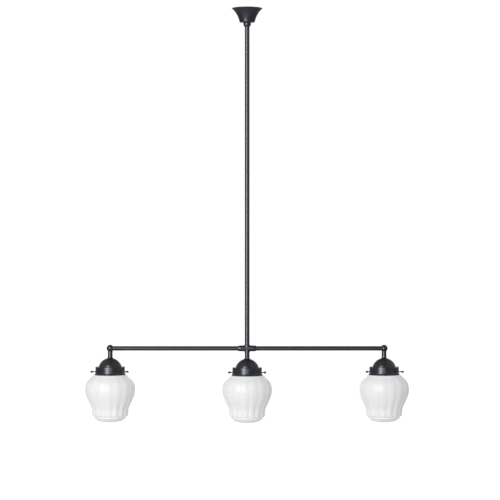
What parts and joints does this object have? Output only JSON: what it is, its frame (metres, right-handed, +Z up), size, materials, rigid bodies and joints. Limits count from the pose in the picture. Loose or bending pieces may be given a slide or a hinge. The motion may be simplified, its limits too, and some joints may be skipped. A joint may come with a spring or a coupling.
{
  "type": "linear island pendant",
  "caption": "Linear pendant light: a ceiling cup and a long down rod carry a straight bar with fluted opal glass shades hung under domed holders.",
  "frame": {"origin": "centre of the hanging eye at the top of the rod, on the rod's axis", "axes": "+Z up along the rod, X along the bar, -Y towards the viewer of the front"},
  "size_m": [0.8979, 0.1382, 1.1503],
  "materials": {
    "black_metal": "satin powder coat",
    "bare_steel": "zinc plated",
    "brass": "plain",
    "white_plastic": "moulded",
    "dark_plastic": "moulded",
    "lead_sheath": "smooth sheath",
    "opal_glass": "glossy opal",
    "lamp_glass": "frosted"
  },
  "bodies": {
    "fixture": {"hanging_loop": "bare_steel", "terminal_bracket": "bare_steel", "terminal_block": "white_plastic", "terminal_screws": "brass", "terminal_fixing_screw": "bare_steel", "earth_screw": "brass", "down_rod": "black_metal", "cross_fitting": "black_metal", "arm_grub_screws": "bare_steel", "cross_nipples": "brass", "left_arm": "black_metal", "right_arm": "black_metal", "left_ball_elbow": "black_metal", "right_ball_elbow": "black_metal", "lampholder_shells": "brass", "lampholder_contacts": "brass", "lamp_nipples": "brass", "lock_nuts": "brass", "left_stem": "black_metal", "left_dome_cap": "black_metal", "left_shade_holder": "black_metal", "left_lampholder_cap": "dark_plastic", "left_lampholder_body": "dark_plastic", "left_shade": "opal_glass", "left_lead": "lead_sheath", "centre_stem": "black_metal", "centre_dome_cap": "black_metal", "centre_shade_holder": "black_metal", "centre_lampholder_cap": "dark_plastic", "centre_lampholder_body": "dark_plastic", "centre_shade": "opal_glass", "centre_lead": "lead_sheath", "right_stem": "black_metal", "right_dome_cap": "black_metal", "right_shade_holder": "black_metal", "right_lampholder_cap": "dark_plastic", "right_lampholder_body": "dark_plastic", "right_shade": "opal_glass", "right_lead": "lead_sheath"},
    "cup": {"ceiling_cup": "black_metal"},
    "stop_collar": {"cup_stop_collar": "black_metal"},
    "stop_screw": {"cup_stop_screw": "bare_steel"},
    "left_lamp": {"left_lamp_cap": "brass", "left_lamp_glass": "lamp_glass"},
    "left_thumb_screw_back": {"left_thumb_screw_back": "black_metal"},
    "left_thumb_screw_front_left": {"left_thumb_screw_front_left": "black_metal"},
    "left_thumb_screw_front_right": {"left_thumb_screw_front_right": "black_metal"},
    "centre_lamp": {"centre_lamp_cap": "brass", "centre_lamp_glass": "lamp_glass"},
    "centre_thumb_screw_back": {"centre_thumb_screw_back": "black_metal"},
    "centre_thumb_screw_front_left": {"centre_thumb_screw_front_left": "black_metal"},
    "centre_thumb_screw_front_right": {"centre_thumb_screw_front_right": "black_metal"},
    "right_lamp": {"right_lamp_cap": "brass", "right_lamp_glass": "lamp_glass"},
    "right_thumb_screw_back": {"right_thumb_screw_back": "black_metal"},
    "right_thumb_screw_front_left": {"right_thumb_screw_front_left": "black_metal"},
    "right_thumb_screw_front_right": {"right_thumb_screw_front_right": "black_metal"}
  },
  "joints": [
    {"name": "cup_slide", "type": "slide", "parent": "fixture", "child": "cup", "axis": [0, 0, 1], "range_m": [-0.86, 0]},
    {"name": "collar_slide", "type": "slide", "parent": "fixture", "child": "stop_collar", "axis": [0, 0, 1], "range_m": [-0.86, 0]},
    {"name": "stop_screw_turnout", "type": "slide", "parent": "stop_collar", "child": "stop_screw", "axis": [0, 1, 0], "range_m": [0, 0.002]},
    {"name": "left_lamp_turn", "type": "hinge", "parent": "fixture", "child": "left_lamp", "pos_m": [-0.38, 0, -1.05], "axis": [0, 0, 1], "continuous": true},
    {"name": "left_thumb_screw_back_turnout", "type": "slide", "parent": "fixture", "child": "left_thumb_screw_back", "axis": [0, 1, 0], "range_m": [0, 0.003]},
    {"name": "left_thumb_screw_front_left_turnout", "type": "slide", "parent": "fixture", "child": "left_thumb_screw_front_left", "axis": [-0.866, -0.5, 0], "range_m": [0, 0.003]},
    {"name": "left_thumb_screw_front_right_turnout", "type": "slide", "parent": "fixture", "child": "left_thumb_screw_front_right", "axis": [0.866, -0.5, 0], "range_m": [0, 0.003]},
    {"name": "centre_lamp_turn", "type": "hinge", "parent": "fixture", "child": "centre_lamp", "pos_m": [0, 0, -1.0519], "axis": [0, 0, 1], "continuous": true},
    {"name": "centre_thumb_screw_back_turnout", "type": "slide", "parent": "fixture", "child": "centre_thumb_screw_back", "axis": [0, 1, 0], "range_m": [0, 0.003]},
    {"name": "centre_thumb_screw_front_left_turnout", "type": "slide", "parent": "fixture", "child": "centre_thumb_screw_front_left", "axis": [-0.866, -0.5, 0], "range_m": [0, 0.003]},
    {"name": "centre_thumb_screw_front_right_turnout", "type": "slide", "parent": "fixture", "child": "centre_thumb_screw_front_right", "axis": [0.866, -0.5, 0], "range_m": [0, 0.003]},
    {"name": "right_lamp_turn", "type": "hinge", "parent": "fixture", "child": "right_lamp", "pos_m": [0.38, 0, -1.05], "axis": [0, 0, 1], "continuous": true},
    {"name": "right_thumb_screw_back_turnout", "type": "slide", "parent": "fixture", "child": "right_thumb_screw_back", "axis": [0, 1, 0], "range_m": [0, 0.003]},
    {"name": "right_thumb_screw_front_left_turnout", "type": "slide", "parent": "fixture", "child": "right_thumb_screw_front_left", "axis": [-0.866, -0.5, 0], "range_m": [0, 0.003]},
    {"name": "right_thumb_screw_front_right_turnout", "type": "slide", "parent": "fixture", "child": "right_thumb_screw_front_right", "axis": [0.866, -0.5, 0], "range_m": [0, 0.003]}
  ],
  "couplings": [
    {"joint": "collar_slide", "follows": "cup_slide", "ratio": 1}
  ]
}
